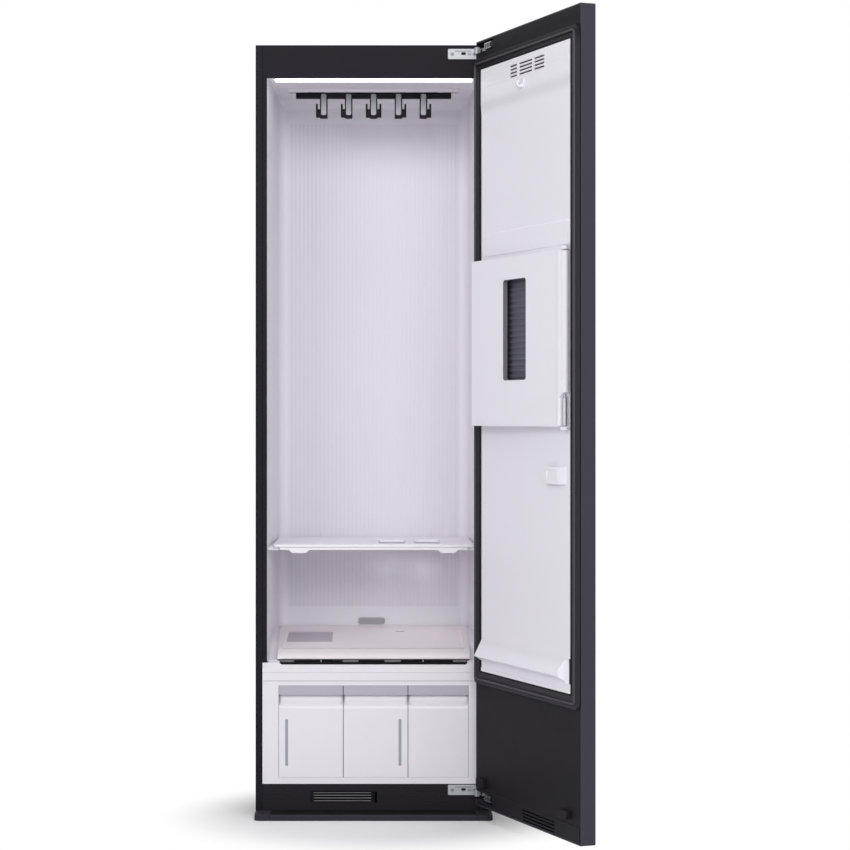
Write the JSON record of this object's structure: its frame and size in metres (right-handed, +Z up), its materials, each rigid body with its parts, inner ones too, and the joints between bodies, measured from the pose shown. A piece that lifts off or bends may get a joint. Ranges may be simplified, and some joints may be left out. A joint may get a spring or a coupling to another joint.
{
  "type": "trouser press cabinet",
  "caption": "Upright garment-care cabinet with a swinging door that carries a hinged trouser press, a shaking hanger bar, a pull-out shelf, a lint filter and drawn-out containers.",
  "frame": {"origin": "on the floor, midway across, below the cabinet's front face", "axes": "+X to the user's right, +Y to the back of the cabinet, +Z up"},
  "size_m": [0.8072, 1.1394, 1.96],
  "materials": {
    "black_steel": "satin black paint",
    "black_plastic": "fine matte black",
    "grey_plastic": "matte grey",
    "dark_grey": "satin dark grey",
    "white_plastic": "fine satin white",
    "back_wall": "satin light grey white",
    "lens": "glossy opal",
    "lid": "smoky grey, part clear",
    "strip": "blue grey, part clear",
    "steel": "brushed",
    "chrome": "polished",
    "rubber": "matte black",
    "cast": "black enamel",
    "fins": "plain",
    "mesh": "fine woven mesh"
  },
  "bodies": {
    "cabinet": {"base_plate": "black_plastic", "base_end_caps": "black_plastic", "left_side_panel": "black_steel", "right_side_panel": "black_steel", "top_panel": "black_steel", "rear_panel": "black_steel", "header_fascia": "black_plastic", "breaker_strips": "black_plastic", "inner_liner": "white_plastic", "ribbed_back_panel": "back_wall", "light_lens": "lens", "hanger_guide_rail": "white_plastic", "shelf_ledges": "white_plastic", "floor_tray": "white_plastic", "intake_grille": "white_plastic", "vent_cover": "grey_plastic", "filter_deck": "black_plastic", "lower_fascia": "white_plastic", "container_bay": "white_plastic", "plinth": "black_plastic", "plinth_grille": "grey_plastic", "upper_hinge_arm": "steel", "lower_hinge_arm": "steel", "compressor": "cast", "heat_exchanger": "fins", "blower_housing": "black_plastic", "fan_motor": "steel", "steam_generator": "steel", "hanger_motor": "grey_plastic", "cord_gland": "black_plastic"},
    "fan": {"fan_wheel": "black_plastic"},
    "hanger": {"hanger_bar": "black_plastic", "hanger_arms": "black_plastic", "hanger_arm_plates": "steel"},
    "shelf": {"shelf": "white_plastic"},
    "supply_tank": {"supply_tank_body": "white_plastic", "supply_tank_lid": "lid", "supply_tank_window": "strip"},
    "drain_tank": {"drain_tank_body": "white_plastic", "drain_tank_lid": "lid", "drain_tank_window": "strip"},
    "aroma_case": {"aroma_case_body": "white_plastic", "aroma_case_lid": "lid"},
    "lint_filter": {"lint_filter_frame": "black_plastic", "lint_filter_mesh": "mesh"},
    "door": {"door_outer_panel": "dark_grey", "door_inner_panel": "black_plastic", "door_inner_frame": "black_plastic", "door_gasket": "rubber", "door_liner": "white_plastic", "door_buffers": "rubber", "garment_hook": "white_plastic", "hem_clamp": "white_plastic", "press_base": "white_plastic", "trouser_clip": "white_plastic", "door_hinge_brackets": "steel", "door_hinge_pins": "chrome", "press_hinge_pin": "chrome"},
    "press": {"press_plate": "white_plastic"}
  },
  "joints": [
    {"name": "door_swing", "type": "hinge", "parent": "cabinet", "child": "door", "pos_m": [0.288, -0.0415, 1], "axis": [0, 0, 1], "range_deg": [-111, 4]},
    {"name": "press_swing", "type": "hinge", "parent": "door", "child": "press", "pos_m": [0.43843, -0.55896, 1.2], "axis": [0, 0, 1], "range_deg": [-2, 85]},
    {"name": "hanger_shake", "type": "slide", "parent": "cabinet", "child": "hanger", "axis": [1, 0, 0], "range_m": [-0.02, 0.02]},
    {"name": "shelf_slide", "type": "slide", "parent": "cabinet", "child": "shelf", "axis": [0, -1, 0], "range_m": [0, 0.07]},
    {"name": "supply_tank_slide", "type": "slide", "parent": "cabinet", "child": "supply_tank", "axis": [0, -1, 0], "range_m": [0, 0.2]},
    {"name": "drain_tank_slide", "type": "slide", "parent": "cabinet", "child": "drain_tank", "axis": [0, -1, 0], "range_m": [0, 0.2]},
    {"name": "aroma_case_slide", "type": "slide", "parent": "cabinet", "child": "aroma_case", "axis": [0, -1, 0], "range_m": [0, 0.2]},
    {"name": "lint_filter_slide", "type": "slide", "parent": "cabinet", "child": "lint_filter", "axis": [0, -1, 0], "range_m": [0, 0.14]},
    {"name": "fan_spin", "type": "hinge", "parent": "cabinet", "child": "fan", "pos_m": [-0.13, 0.375, 0.15], "axis": [0, 1, 0], "continuous": true}
  ]
}
